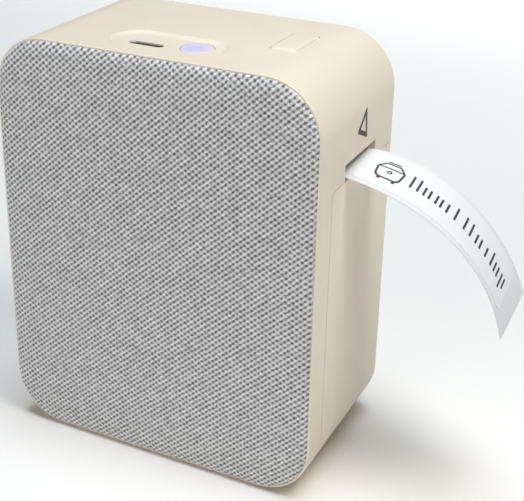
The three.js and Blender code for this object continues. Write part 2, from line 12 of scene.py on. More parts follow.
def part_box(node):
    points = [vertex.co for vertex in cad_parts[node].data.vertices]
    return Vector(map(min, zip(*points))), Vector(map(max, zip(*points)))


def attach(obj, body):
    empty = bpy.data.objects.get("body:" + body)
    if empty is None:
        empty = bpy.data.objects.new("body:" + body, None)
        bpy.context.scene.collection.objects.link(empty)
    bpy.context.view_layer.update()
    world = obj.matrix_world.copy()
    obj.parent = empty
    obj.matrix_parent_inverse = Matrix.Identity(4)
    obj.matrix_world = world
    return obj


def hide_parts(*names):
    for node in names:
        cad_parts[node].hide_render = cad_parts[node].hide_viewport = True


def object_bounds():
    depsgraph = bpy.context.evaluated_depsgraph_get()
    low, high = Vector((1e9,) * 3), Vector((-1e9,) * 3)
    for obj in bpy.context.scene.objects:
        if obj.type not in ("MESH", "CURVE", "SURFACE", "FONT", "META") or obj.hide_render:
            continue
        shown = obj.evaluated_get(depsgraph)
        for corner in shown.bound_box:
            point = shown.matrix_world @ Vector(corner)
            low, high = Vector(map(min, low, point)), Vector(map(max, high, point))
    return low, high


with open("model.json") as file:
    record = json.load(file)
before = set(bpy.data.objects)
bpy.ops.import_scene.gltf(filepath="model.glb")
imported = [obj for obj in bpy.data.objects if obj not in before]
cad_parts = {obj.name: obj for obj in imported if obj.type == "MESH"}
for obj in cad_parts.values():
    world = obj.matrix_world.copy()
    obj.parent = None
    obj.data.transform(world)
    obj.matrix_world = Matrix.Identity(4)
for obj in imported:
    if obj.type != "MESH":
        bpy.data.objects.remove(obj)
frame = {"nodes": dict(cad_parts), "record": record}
CAD_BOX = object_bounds()

MM = 0.001
NODES = frame["nodes"]
SUBPARTS = frame["record"]["subparts"]


def span(node):
    """A CAD node's box in millimetres: x0, x1, y0, y1, z0, z1."""
    low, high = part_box(node)
    return [v / MM for pair in zip(low, high) for v in pair]


# ---------------------------------------------------------------- camera

CAMERA_AZIMUTH = math.radians(26.378)
CAMERA_ELEVATION = math.radians(23.344)
CAMERA_ROLL = math.radians(0.8)
CAMERA_DISTANCE = 0.26939
CAMERA_TARGET = Vector((0.01097, 0.0005, 0.06375))
CAMERA_LENS = 79.34
CAMERA_SENSOR = 36
CAMERA_SHIFT = (0.04, -0.12)
CAMERA_RANGE = (0.01, 20)


def make_camera():
    """A camera that looks at the target from its azimuth, elevation and distance, rolled a little."""
    across = math.cos(CAMERA_ELEVATION)
    back = Vector(
        (
            math.sin(CAMERA_AZIMUTH) * across,
            -math.cos(CAMERA_AZIMUTH) * across,
            math.sin(CAMERA_ELEVATION),
        )
    )
    level = Vector((0, 0, 1)).cross(back).normalized()
    upright = back.cross(level)
    right = math.cos(CAMERA_ROLL) * level + math.sin(CAMERA_ROLL) * upright
    up = math.cos(CAMERA_ROLL) * upright - math.sin(CAMERA_ROLL) * level
    data = bpy.data.cameras.new("camera")
    data.lens = CAMERA_LENS
    data.sensor_width = CAMERA_SENSOR
    data.shift_x, data.shift_y = CAMERA_SHIFT
    data.clip_start, data.clip_end = CAMERA_RANGE
    camera = bpy.data.objects.new("camera", data)
    placed = Matrix((right, up, back)).transposed().to_4x4()
    placed.translation = CAMERA_TARGET + back * CAMERA_DISTANCE
    camera.matrix_world = placed
    bpy.context.scene.collection.objects.link(camera)
    bpy.context.scene.camera = camera


make_camera()
bpy.context.scene.view_settings.view_transform = "Standard"


# ---------------------------------------------------------------- materials

def value_nodes(material):
    """The tree, its shader and a function that adds a node with its inputs set or linked."""
    material.use_nodes = True
    tree = material.node_tree
    shader = tree.nodes["Principled BSDF"]

    def add(kind, inputs=(), **settings):
        node = tree.nodes.new(kind)
        for key, value in settings.items():
            setattr(node, key, value)
        for key, value in dict(inputs).items():
            if isinstance(value, bpy.types.NodeSocket):
                tree.links.new(value, node.inputs[key])
            else:
                node.inputs[key].default_value = value
        return node

    return tree, shader, add


def mixed(add, share, low, high):
    """A colour between two colours, by a share."""
    node = add("ShaderNodeMix", data_type="RGBA")
    tree = node.id_data
    for socket, value in ((node.inputs[6], low), (node.inputs[7], high)):
        if isinstance(value, bpy.types.NodeSocket):
            tree.links.new(value, socket)
        else:
            socket.default_value = (*value, 1)
    tree.links.new(share, node.inputs[0])
    return node.outputs[2]


def grain(add, size_mm, detail=2.0, stretch=(1, 1, 1)):
    """Noise in the object's own space whose blotches are about size_mm across."""
    place = add("ShaderNodeTexCoord").outputs["Object"]
    scaled = add("ShaderNodeMapping", {"Vector": place, "Scale": stretch}).outputs["Vector"]
    noise = add(
        "ShaderNodeTexNoise",
        {"Vector": scaled, "Scale": 1000 / size_mm, "Detail": detail, "Roughness": 0.55},
    )
    return noise.outputs["Fac"]


def ranged(add, value, low, high, start=0.3, end=0.7):
    """A value carried from start..end to low..high, and held at the ends."""
    node = add(
        "ShaderNodeMapRange",
        {"Value": value, "From Min": start, "From Max": end, "To Min": low, "To Max": high},
    )
    return node.outputs["Result"]


def maths(add, operation, a, b=0.0):
    """One sum on values or sockets."""
    node = add("ShaderNodeMath", operation=operation)
    tree = node.id_data
    for socket, value in zip(node.inputs, (a, b)):
        if isinstance(value, bpy.types.NodeSocket):
            tree.links.new(value, socket)
        else:
            socket.default_value = value
    return node.outputs[0]


def bumped(add, shader, height, depth_mm, strength=0.5):
    """Roughens a shader's surface by a height."""
    node = add("ShaderNodeBump", {"Height": height, "Strength": strength, "Distance": depth_mm * MM})
    shader.id_data.links.new(node.outputs["Normal"], shader.inputs["Normal"])


def moulded(name, color, shade, roughness, blotch_mm=14, grain_mm=0.35, depth_mm=0.01, specular=0.5):
    """Moulded plastic: faint cloudiness in the colour, and the fine spark texture of its tool."""
    material = bpy.data.materials.new(name)
    tree, shader, add = value_nodes(material)
    cloud = ranged(add, grain(add, blotch_mm, 3), 0, 1)
    tree.links.new(mixed(add, cloud, color, shade), shader.inputs["Base Color"])
    fine = grain(add, grain_mm, 2)
    spread = ranged(add, grain(add, blotch_mm / 3, 4), roughness - 0.05, roughness + 0.06)
    tree.links.new(spread, shader.inputs["Roughness"])
    shader.inputs["Specular IOR Level"].default_value = specular
    bumped(add, shader, fine, depth_mm)
    return material


def metal(name, color, shade, roughness, along=(1, 1, 12), streak_mm=0.6):
    """Drawn or rolled metal with fine streaks."""
    material = bpy.data.materials.new(name)
    tree, shader, add = value_nodes(material)
    streak = grain(add, streak_mm, 4, along)
    tree.links.new(mixed(add, ranged(add, streak, 0, 1), color, shade), shader.inputs["Base Color"])
    rough = ranged(add, streak, roughness - 0.07, roughness + 0.1)
    tree.links.new(rough, shader.inputs["Roughness"])
    shader.inputs["Metallic"].default_value = 1
    bumped(add, shader, streak, 0.006, 0.35)
    return material


def fibrous(name, color, shade, roughness, fibre_mm, depth_mm, stretch=(1, 1, 1)):
    """Paper and board: short fibres that mottle the colour."""
    material = bpy.data.materials.new(name)
    tree, shader, add = value_nodes(material)
    fibre = grain(add, fibre_mm, 6, stretch)
    tree.links.new(mixed(add, ranged(add, fibre, 0, 1), color, shade), shader.inputs["Base Color"])
    tree.links.new(ranged(add, fibre, roughness - 0.05, roughness + 0.08), shader.inputs["Roughness"])
    bumped(add, shader, fibre, depth_mm, 0.4)
    return material


# The knit is the sum of waves of yarn: cycles per millimetre in x and z, and share of the height.
# The first runs up to the right, the second up to the left, and the third is the upright wales.
KNIT_WAVES = ((0.62, -0.705, 0.53), (0.515, 0.72, 0.35), (1.135, 0.015, 0.12))
KNIT_WANDER = 0.35  # how far a wave strays, in radians
KNIT_UNEVEN = 0.12  # how far a yarn lies off its height
KNIT_FUZZ = 0.25  # how far stray fibres stand off it
KNIT_HOLE, KNIT_YARN = 0.06, 0.88  # heights where the colour is all painted hole shade and all yarn
YARN = (0.95, 0.945, 0.95)
YARN_SHADE = (0.80, 0.80, 0.81)
# Painted shade: the dark colour of the knit's holes stands for the shade seen into them
KNIT_HOLE_SHADE = (0.11, 0.11, 0.111)


def weave_height(x, z):
    """Height of the knit, 0 in a hole and 1 on top of a yarn, at x and z in millimetres."""
    waves = sum(share * np.cos(2 * math.pi * (kx * x + kz * z)) for kx, kz, share in KNIT_WAVES)
    return 0.5 - 0.5 * waves


def knit(name):
    """Open melange knit: pale yarns that lean to the right between staggered holes, which are darkened with
    painted shade.
    """
    material = bpy.data.materials.new(name)
    tree, shader, add = value_nodes(material)
    place = add("ShaderNodeTexCoord").outputs["Object"]
    parts = add("ShaderNodeSeparateXYZ", {"Vector": place})
    wander = ranged(add, grain(add, 4, 2), -KNIT_WANDER, KNIT_WANDER)
    height = 0.5
    for kx, kz, share in KNIT_WAVES:
        across = maths(add, "MULTIPLY", parts.outputs["X"], 2 * math.pi * kx / MM)
        up = maths(add, "MULTIPLY", parts.outputs["Z"], 2 * math.pi * kz / MM)
        wave = maths(add, "COSINE", maths(add, "ADD", maths(add, "ADD", across, up), wander))
        height = maths(add, "ADD", maths(add, "MULTIPLY", wave, -0.5 * share), height)
    fuzz = ranged(add, grain(add, 0.26, 3), -KNIT_FUZZ, KNIT_FUZZ)
    uneven = ranged(add, grain(add, 1.0, 2), -KNIT_UNEVEN, KNIT_UNEVEN)
    rough_height = maths(add, "ADD", maths(add, "ADD", height, uneven), fuzz)
    # Painted shade: where the knit is low, the colour goes over to the dark hole colour
    yarn_share = ranged(add, rough_height, 0, 1, KNIT_HOLE, KNIT_YARN)
    melange = mixed(add, ranged(add, grain(add, 0.6, 3), 0, 1), YARN_SHADE, YARN)
    tree.links.new(mixed(add, yarn_share, KNIT_HOLE_SHADE, melange), shader.inputs["Base Color"])
    shader.inputs["Roughness"].default_value = 0.92
    shader.inputs["Specular IOR Level"].default_value = 0.25
    shader.inputs["Sheen Weight"].default_value = 0.25
    shader.inputs["Sheen Roughness"].default_value = 0.5
    bumped(add, shader, rough_height, 0.22, 0.6)
    return material


LENS_RADIUS = 3.8
LAMP_OFFSET = (-0.6, -0.7)  # the lamp sits a little off the lens's middle
LENS_LIT, LENS_EDGE = (0.63, 0.585, 0.86), (0.76, 0.69, 0.70)


def glowing_lens(name):
    """Milky lens over a lavender light."""
    material = bpy.data.materials.new(name)
    tree, shader, add = value_nodes(material)
    x0, x1, y0, y1, _, _ = span("power_button")
    place = add("ShaderNodeTexCoord").outputs["Object"]
    lamp = Vector(((x0 + x1) / 2 + LAMP_OFFSET[0], (y0 + y1) / 2 + LAMP_OFFSET[1], 0)) * MM
    offset = add("ShaderNodeVectorMath", {0: place, 1: lamp}, operation="SUBTRACT").outputs[0]
    flat = add("ShaderNodeVectorMath", {0: offset, 1: (1, 1, 0)}, operation="MULTIPLY").outputs[0]
    reach = add("ShaderNodeVectorMath", {0: flat}, operation="LENGTH").outputs["Value"]
    away = ranged(add, reach, 0, 1, 0.45 * LENS_RADIUS * MM, 1.2 * LENS_RADIUS * MM)
    colour = mixed(add, away, LENS_LIT, LENS_EDGE)
    tree.links.new(colour, shader.inputs["Base Color"])
    tree.links.new(colour, shader.inputs["Emission Color"])
    shader.inputs["Emission Strength"].default_value = 0.06
    shader.inputs["Specular IOR Level"].default_value = 0.3
    tree.links.new(ranged(add, grain(add, 1.2), 0.42, 0.5), shader.inputs["Roughness"])
    bumped(add, shader, grain(add, 0.4), 0.002, 0.2)
    return material


def circuit_board(name):
    """Solder mask over copper tracks, which show as slightly paler raised runs."""
    material = bpy.data.materials.new(name)
    tree, shader, add = value_nodes(material)
    place = add("ShaderNodeTexCoord").outputs["Object"]
    tracks = add(
        "ShaderNodeTexBrick",
        {"Vector": place, "Scale": 260.0, "Mortar Size": 0.06, "Brick Width": 1.6, "Row Height": 0.5},
    )
    share = maths(add, "MULTIPLY", tracks.outputs["Fac"], 0.8)
    tree.links.new(mixed(add, share, (0.016, 0.13, 0.06), (0.05, 0.26, 0.12)), shader.inputs["Base Color"])
    tree.links.new(ranged(add, grain(add, 2), 0.32, 0.42), shader.inputs["Roughness"])
    bumped(add, shader, tracks.outputs["Fac"], 0.03, 0.5)
    return material


def wound_tape(name, turn_mm=0.35):
    """The label roll: its flat sides show the edges of the wound turns."""
    material = bpy.data.materials.new(name)
    tree, shader, add = value_nodes(material)
    x0, x1, _, _, z0, z1 = span("label_roll")
    place = add("ShaderNodeTexCoord").outputs["Object"]
    middle = Vector(((x0 + x1) / 2, 0, (z0 + z1) / 2)) * MM
    offset = add("ShaderNodeVectorMath", {0: place, 1: middle}, operation="SUBTRACT").outputs[0]
    flat = add("ShaderNodeVectorMath", {0: offset, 1: (1, 0, 1)}, operation="MULTIPLY").outputs[0]
    reach = add("ShaderNodeVectorMath", {0: flat}, operation="LENGTH").outputs["Value"]
    turns = maths(add, "SINE", maths(add, "MULTIPLY", reach, 2 * math.pi / (turn_mm * MM)))
    share = ranged(add, turns, 0, 1, -1, 1)
    soft = mixed(add, ranged(add, grain(add, 3), 0, 1), (0.86, 0.86, 0.85), (0.80, 0.80, 0.79))
    tree.links.new(mixed(add, share, (0.66, 0.66, 0.64), soft), shader.inputs["Base Color"])
    tree.links.new(ranged(add, grain(add, 0.8), 0.55, 0.7), shader.inputs["Roughness"])
    bumped(add, shader, share, 0.04, 0.5)
    return material


CREAM = (0.86, 0.765, 0.615)
CREAM_SHADE = (0.835, 0.738, 0.588)

MATERIALS = {
    "cream_shell": moulded("cream_moulding", CREAM, CREAM_SHADE, 0.46),
    "grille_fabric": knit("grille_knit"),
    "dark_plastic": moulded("dark_moulding", (0.022, 0.023, 0.025), (0.03, 0.03, 0.033), 0.5),
    "light_lens": glowing_lens("lavender_lens"),
    "inner_plastic": moulded("inner_moulding", (0.74, 0.67, 0.54), (0.70, 0.63, 0.50), 0.55, 9, 0.5),
    "gear_plastic": moulded("acetal", (0.78, 0.78, 0.75), (0.72, 0.72, 0.69), 0.38, 5, 0.3),
    "platen_rubber": moulded("platen_rubber", (0.025, 0.024, 0.023), (0.04, 0.038, 0.036), 0.8, 3, 0.2, 0.02),
    "aluminium": metal("turned_aluminium", (0.78, 0.79, 0.80), (0.68, 0.69, 0.70), 0.36, (12, 1, 1)),
    "head_ceramic": moulded("alumina", (0.72, 0.69, 0.62), (0.66, 0.62, 0.55), 0.28, 2, 0.2),
    "circuit_board": circuit_board("solder_mask"),
    "battery_wrap": moulded("cell_film", (0.035, 0.10, 0.26), (0.045, 0.13, 0.32), 0.3, 7, 1.2, 0.03),
    "wire_sleeve": moulded("wire_sleeve", (0.42, 0.03, 0.025), (0.36, 0.025, 0.02), 0.45, 2, 0.4),
    "label_tape": fibrous("glassine_liner", (0.79, 0.79, 0.795), (0.75, 0.75, 0.755), 0.42, 0.8, 0.01),
    "core_board": fibrous("core_board", (0.50, 0.36, 0.21), (0.36, 0.25, 0.14), 0.85, 0.5, 0.05, (1, 4, 1)),
    "steel": metal("bright_steel", (0.66, 0.67, 0.69), (0.55, 0.56, 0.58), 0.28),
}
LABEL_FACE = fibrous("thermal_paper", (0.845, 0.835, 0.835), (0.825, 0.815, 0.815), 0.5, 0.6, 0.008)
WOUND_TAPE = wound_tape("wound_tape")
SOCKET_STEEL = metal("socket_steel", (0.46, 0.41, 0.38), (0.36, 0.32, 0.29), 0.5)
TONGUE_RESIN = moulded("tongue_resin", (0.26, 0.215, 0.195), (0.30, 0.25, 0.225), 0.6, 2, 0.3)
PRINT_INK = moulded("print_ink", (0.035, 0.035, 0.037), (0.075, 0.075, 0.08), 0.6, 0.5, 0.12, 0.004)


# ---------------------------------------------------------------- mesh tools

def mesh_object(name, vertices, faces, scale=MM):
    """A mesh piece from points in millimetres."""
    mesh = bpy.data.meshes.new(name)
    mesh.from_pydata([[c * scale for c in v] for v in vertices], [], faces)
    mesh.validate()
    made = bpy.data.objects.new(name, mesh)
    bpy.context.scene.collection.objects.link(made)
    return made


def outward(made):
    """Turns the faces of a closed mesh outwards."""
    work = bmesh.new()
    work.from_mesh(made.data)
    bmesh.ops.recalc_face_normals(work, faces=work.faces)
    work.to_mesh(made.data)
    work.free()
    return made


def loft(name, rings, closed=False):
    """Quads between rings of as many points each, with flat ends unless the rings run round to the first."""
    count = len(rings[0])
    points = [p for ring in rings for p in ring]
    faces = []
    for s in range(len(rings) if closed else len(rings) - 1):
        here, there = s * count, (s + 1) % len(rings) * count
        for i in range(count):
            j = (i + 1) % count
            faces.append((here + i, here + j, there + j, there + i))
    if not closed:
        faces.append(tuple(range(count - 1, -1, -1)))
        faces.append(tuple(range(len(points) - count, len(points))))
    return outward(mesh_object(name, points, faces))


def rounded_corners(corners, radii, steps=6):
    """A closed outline through corners, each rounded to its radius."""
    points = []
    count = len(corners)
    for i, (corner, radius) in enumerate(zip(corners, radii)):
        here = Vector(corner)
        before = (Vector(corners[i - 1]) - here).normalized()
        after = (Vector(corners[(i + 1) % count]) - here).normalized()
        if radius <= 0:
            points.append(tuple(here))
            continue
        half = before.angle(after) / 2
        centre = here + (before + after).normalized() * radius / math.sin(half)
        start = here + before * radius / math.tan(half) - centre
        end = here + after * radius / math.tan(half) - centre
        turn = start.angle_signed(end)
        for k in range(steps + 1):
            angle = -turn * k / steps
            c, s = math.cos(angle), math.sin(angle)
            points.append((centre.x + c * start.x - s * start.y, centre.y + s * start.x + c * start.y))
    return points


def rectangle(x0, x1, y0, y1, radius=0, steps=6):
    return rounded_corners([(x0, y0), (x1, y0), (x1, y1), (x0, y1)], [radius] * 4, steps)


def slab_z(name, outline, z0, z1):
    """An outline in X and Y, from z0 to z1."""
    return loft(name, [[(x, y, z) for x, y in outline] for z in (z0, z1)])


def slab_y(name, outline, y0, y1):
    """An outline in X and Z, from y0 to y1."""
    return loft(name, [[(x, y, z) for x, z in outline] for y in (y0, y1)])


def block(name, x0, x1, y0, y1, z0, z1):
    return slab_z(name, rectangle(x0, x1, y0, y1), z0, z1)


def turned(name, profile, axis, at, steps=72):
    """A piece turned about Y or Z through at, from a closed profile of radius and place on the axis."""
    rings = []
    for k in range(steps):
        angle = 2 * math.pi * k / steps
        c, s = math.cos(angle), math.sin(angle)
        if axis == "Y":
            rings.append([(at[0] + r * c, a, at[1] + r * s) for r, a in profile])
        else:
            rings.append([(at[0] + r * c, at[1] + r * s, a) for r, a in profile])
    made = loft(name, rings, closed=True)
    work = bmesh.new()
    work.from_mesh(made.data)
    bmesh.ops.remove_doubles(work, verts=work.verts, dist=1e-7)
    bmesh.ops.recalc_face_normals(work, faces=work.faces)
    work.to_mesh(made.data)
    work.free()
    return made


def baked(made):
    """Applies the modifiers of a piece."""
    bpy.context.view_layer.update()
    evaluated = made.evaluated_get(bpy.context.evaluated_depsgraph_get())
    old = made.data
    made.data = bpy.data.meshes.new_from_object(evaluated)
    made.data.name = made.name
    made.modifiers.clear()
    bpy.data.meshes.remove(old)
    return made


def combined(made, operation, *tools):
    """Joins tools to a piece, cuts them out of it, or keeps what is common."""
    for tool in tools:
        step = made.modifiers.new("combine", "BOOLEAN")
        step.operation = operation
        step.solver = "EXACT"
        step.object = tool
        baked(made)
        bpy.data.objects.remove(tool)
    return made


def softened(made, width_mm, segments=2, sharp_degrees=32):
    """Rounds the sharp edges of a piece and shades it smooth between what stays sharp."""
    step = made.modifiers.new("soften", "BEVEL")
    step.width = width_mm * MM
    step.segments = segments
    step.limit_method = "ANGLE"
    step.angle_limit = math.radians(sharp_degrees)
    step.use_clamp_overlap = True
    baked(made)
    shaded(made)
    even = made.modifiers.new("even", "WEIGHTED_NORMAL")
    even.keep_sharp = True
    even.weight = 100
    return baked(made)


def shaded(made, sharp_degrees=35):
    """Smooth shading, broken at sharp edges."""
    made.data.polygons.foreach_set("use_smooth", [True] * len(made.data.polygons))
    made.data.set_sharp_from_angle(angle=math.radians(sharp_degrees))


def finished(made, body, slot, *nodes, material=None):
    """Gives a piece its finish, body and the CAD nodes that it stands for."""
    made.data.materials.clear()
    made.data.materials.append(material or MATERIALS[slot])
    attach(made, body)
    if nodes:
        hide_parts(*nodes)
    return made


# ---------------------------------------------------------------- casing

_, SIDE, _, BACK, _, _ = span("main_housing")
FRONT = -BACK
HEIGHT = 100
CORNER = 13  # radius of the corners seen from the front
CORNER_STEPS = 24
WALL = 2
LIP = 0.5  # wall left round the fabric front
LIP_DEPTH = 3
LIP_ROUND = (0.3, 0.22)  # depth and width of the lip's rounded edge
REAR_ROUND = 2
INNER_ROUND = 1
EDGE_ROUND = 0.22
DOOR_EDGE_ROUND = 0.6
GAP = 0.16  # seam round the door

DOOR_LEFT = -24.2
DOOR_FRONT = -15.1
DOOR_TOP = 74.3
DOOR_LOW = 2.0
DOOR_WRAP = 30.3
DOOR_ROUND = 1.5
HINGE = (-22, 20.4)
HINGE_RADIUS = 1.5
HINGE_BORE = 0.9
KNUCKLE = (19, 57)  # heights of the housing's own part of the hinge
BARREL_GAP = 0.5
DISH = (-1, -11.8, 27, 12.5)  # centre, length and width
# Height below the top and spread past the outline, from the dish's floor to above its rim
DISH_SLOPE = ((-0.6, -1.0), (-0.5, -0.6), (-0.3, 0.05), (-0.1, 0.45), (1, 2.2))
BOSSES = ((-33, 12), (-33, 86))
BOSS_RADIUS = 2.6
CHASSIS_FACE = -8.7


def body_ring(y, inset):
    """The body's rounded outline, moved in by inset, at y."""
    radius = CORNER - inset
    across = SIDE - CORNER
    ring = []
    for x, z, start in (
        (across, CORNER, -90),
        (across, HEIGHT - CORNER, 0),
        (-across, HEIGHT - CORNER, 90),
        (-across, CORNER, 180),
    ):
        for k in range(CORNER_STEPS + 1):
            angle = math.radians(start + 90 * k / CORNER_STEPS)
            ring.append((x + radius * math.cos(angle), y, z + radius * math.sin(angle)))
    return ring


def outer_body(name):
    """The body as one solid, with a rounded front lip and a rounder rear edge."""
    sections = []
    for k in range(5):
        t = math.radians(22.5 * k)
        sections.append((FRONT + LIP_ROUND[0] * (1 - math.cos(t)), LIP_ROUND[1] * (1 - math.sin(t))))
    for k in range(9):
        t = math.radians(90 * k / 8)
        sections.append((BACK - REAR_ROUND * (1 - math.sin(t)), REAR_ROUND * (1 - math.cos(t))))
    return loft(name, [body_ring(y, inset) for y, inset in sections])


def inner_body(name):
    """What the body is hollowed by: wide behind the lip, then one wall in from the outside."""
    lip_end = FRONT + LIP_DEPTH
    round_start = BACK - WALL - INNER_ROUND
    sections = [(FRONT - 1, LIP), (lip_end, LIP), (lip_end + 0.01, WALL), (round_start, WALL)]
    for k in range(1, 5):
        t = math.radians(22.5 * k)
        inset = WALL + INNER_ROUND * (1 - math.cos(t))
        sections.append((round_start + INNER_ROUND * math.sin(t), inset))
    return loft(name, [body_ring(y, inset) for y, inset in sections])


def door_region(name, gap):
    """What the door takes out of the casing: the rear and right walls, round the lower right edge."""
    right = SIDE + 1
    corners = [
        (DOOR_LEFT + gap, DOOR_LOW + gap),
        (DOOR_WRAP + gap, DOOR_LOW + gap),
        (DOOR_WRAP + gap, -1),
        (right, -1),
        (right, DOOR_TOP - gap),
        (DOOR_LEFT + gap, DOOR_TOP - gap),
    ]
    radii = [DOOR_ROUND - gap, 0, 0, 0, 0, DOOR_ROUND - gap]
    return slab_y(name, rounded_corners(corners, radii), DOOR_FRONT + gap, BACK + 1)


def barrel(name, z0, z1, radius=HINGE_RADIUS, steps=32):
    """A rod on the hinge's axis."""
    profile = [(0, z0), (radius, z0), (radius, z1), (0, z1)]
    return turned(name, profile, "Z", HINGE, steps)


def dish_tool():
    """A shallow pill-shaped hollow with sloping sides."""
    x, y, length, width = DISH
    rings = []
    for z, spread in DISH_SLOPE:
        dx, dy = length / 2 + spread, width / 2 + spread
        outline = rectangle(x - dx, x + dx, y - dy, y + dy, dy - 0.01, 16)
        rings.append([(px, py, HEIGHT + z) for px, py in outline])
    return loft("dish_tool", rings)


def housing_shell():
    """The one-piece casing with its dish, port, button holes, slot, bosses and hinge knuckle."""
    shell = outer_body("housing_shell")
    combined(shell, "DIFFERENCE", inner_body("hollow"), door_region("door_hole", 0))
    under, over = HEIGHT - WALL - 1, HEIGHT + 1
    x0, x1, y0, y1, _, _ = span("usb_socket")
    c = PORT_CLEARANCE
    port = rectangle(x0 - c, x1 + c, y0 + c, y1 - c, (y1 - y0) / 2 - c - 0.01, 10)
    hole = LENS_RADIUS + LENS_CLEARANCE
    lens_hole = [(0, under), (hole, under), (hole, over), (0, over)]
    x0, x1, y0, y1 = CUTTER_CAP
    c = CUTTER_CLEARANCE
    button_hole = rectangle(x0 - c, x1 + c, y0 - c, y1 + c, 1.2)
    slot_mouth = rectangle(SLOT_Y0, SLOT_Y1, SLOT_Z0, SLOT_Z1)
    slot = [[(x, y, z) for y, z in slot_mouth] for x in (SIDE - WALL - 1, SIDE + 1)]
    combined(
        shell,
        "DIFFERENCE",
        dish_tool(),
        slab_z("port", port, under, over),
        turned("lens_hole", lens_hole, "Z", POWER_AT, 64),
        slab_z("button_hole", button_hole, under, over),
        loft("slot", slot),
    )
    rear = BACK - WALL + 0.5
    for at in BOSSES:
        boss = [(0, CHASSIS_FACE), (BOSS_RADIUS, CHASSIS_FACE), (BOSS_RADIUS, rear), (0, rear)]
        combined(shell, "UNION", turned("boss", boss, "Y", at, 32))
    combined(
        shell,
        "UNION",
        block("foot", 25, 29.5, CHASSIS_FACE, -2, WALL - 0.5, 10),
        block("knuckle_foot", DOOR_LEFT - 2, DOOR_LEFT + 1, BACK - 3.5, BACK - 1.6, *KNUCKLE),
        barrel("knuckle", *KNUCKLE),
    )
    bore = barrel("bore", KNUCKLE[0] - 1, KNUCKLE[1] + 1, HINGE_BORE, 24)
    combined(shell, "DIFFERENCE", bore)
    softened(shell, EDGE_ROUND)
    return finished(shell, "root", "cream_shell", "main_housing")


def tape_door():
    """The door, cut from the same body, with its two hinge barrels, latch and rib."""
    shell = outer_body("tape_door_shell")
    combined(shell, "DIFFERENCE", inner_body("hollow"))
    combined(shell, "INTERSECT", door_region("door_part", GAP))
    edge = DOOR_LEFT + 4
    combined(shell, "DIFFERENCE", block("relief", DOOR_LEFT - 1, edge, BACK - 3, BACK + 1, 0, HEIGHT))
    low_barrel = (DOOR_LOW + 0.6, KNUCKLE[0] - BARREL_GAP)
    high_barrel = (KNUCKLE[1] + BARREL_GAP, DOOR_TOP - 0.7)
    for low, high in (low_barrel, high_barrel):
        web = block("web", HINGE[0] + 0.8, edge + 1, HINGE[1] - 1.2, HINGE[1] + 1.2, low, high)
        combined(shell, "UNION", barrel("barrel", low, high), web)
    combined(
        shell,
        "UNION",
        block("latch_root", 36, SIDE - WALL + 0.5, DOOR_FRONT + GAP, -12, 30, 42),
        block("latch", 36, 37, DOOR_FRONT - 1.3, -12, 31, 41),
        block("rib", SIDE - WALL - 0.8, SIDE - WALL + 0.4, -6, 17, 66, 67.5),
    )
    combined(shell, "DIFFERENCE", barrel("bore", 0, 90, HINGE_BORE, 24))
    softened(shell, DOOR_EDGE_ROUND)
    return finished(shell, "tape_door", "cream_shell", "tape_door")


# ---------------------------------------------------------------- top controls

POWER_X0, POWER_X1, POWER_Y0, POWER_Y1, POWER_LOW, POWER_TOP = span("power_button")
POWER_AT = ((POWER_X0 + POWER_X1) / 2, (POWER_Y0 + POWER_Y1) / 2)
POWER_FLANGE = (96.4, 97.5)  # heights of the flange under the casing's top wall
CUTTER_X0, CUTTER_X1, CUTTER_Y0, CUTTER_Y1, CUTTER_LOW, CUTTER_TOP = span("cutter_button")
FLANGE = 0.9  # how far each button's flange stands out
CUTTER_FLANGE = (96.6, 97.7)
CUTTER_CAP = (CUTTER_X0 + FLANGE, CUTTER_X1 - FLANGE, CUTTER_Y0 + FLANGE, CUTTER_Y1 - FLANGE)
CAP_ROUND = 0.9
STEM_HALF = 1.4
PORT_CLEARANCE = 0.15
LENS_CLEARANCE = 0.08
CUTTER_CLEARANCE = 0.09
CONTACT_PITCH = 0.5
SLOT_Y0, SLOT_Y1, SLOT_Z0, SLOT_Z1 = -8.3, 9.6, 72.8, 78.1


def power_button():
    """The lens with its flange and the peg that meets the switch."""
    low, high = POWER_FLANGE
    rim = LENS_RADIUS - 0.02
    peg = 1.1
    profile = [(0, POWER_LOW), (peg, POWER_LOW), (peg, low), (LENS_RADIUS + FLANGE, low)]
    profile += [(LENS_RADIUS + FLANGE, high), (rim, high), (rim, POWER_TOP - 0.25)]
    for k in range(1, 7):
        t = math.radians(15 * k)
        profile.append((rim - 0.3 * (1 - math.cos(t)), POWER_TOP - 0.25 + 0.2 * math.sin(t)))
    profile += [(rim * 0.6, POWER_TOP - 0.02), (0, POWER_TOP)]
    made = turned("power_lens", profile, "Z", POWER_AT, 72)
    shaded(made)
    return finished(made, "power_button", "light_lens", "power_button")


def cutter_button():
    """The cap with a well rounded top, its flange, and the stem that presses the lever."""
    x0, x1, y0, y1 = CUTTER_CAP
    levels = [(97.2, 0)]
    for k in range(8):
        t = math.radians(90 * k / 7)
        levels.append((CUTTER_TOP - CAP_ROUND * (1 - math.sin(t)), CAP_ROUND * (1 - math.cos(t))))
    rings = []
    for z, inset in levels:
        outline = rectangle(x0 + inset, x1 - inset, y0 + inset, y1 - inset, 1.1 + 0.4 * inset, 8)
        rings.append([(x, y, z) for x, y in outline])
    made = loft("cutter_button_cap", rings)
    flange = rectangle(CUTTER_X0, CUTTER_X1, CUTTER_Y0, CUTTER_Y1, 0.6, 4)
    mx, my = (x0 + x1) / 2, (y0 + y1) / 2
    stem = rectangle(mx - STEM_HALF, mx + STEM_HALF, my - STEM_HALF, my + STEM_HALF, 0.3, 3)
    combined(
        made,
        "UNION",
        slab_z("flange", flange, *CUTTER_FLANGE),
        slab_z("stem", stem, CUTTER_LOW + 0.1, 97),
    )
    shaded(made)
    return finished(made, "cutter_button", "cream_shell", "cutter_button")


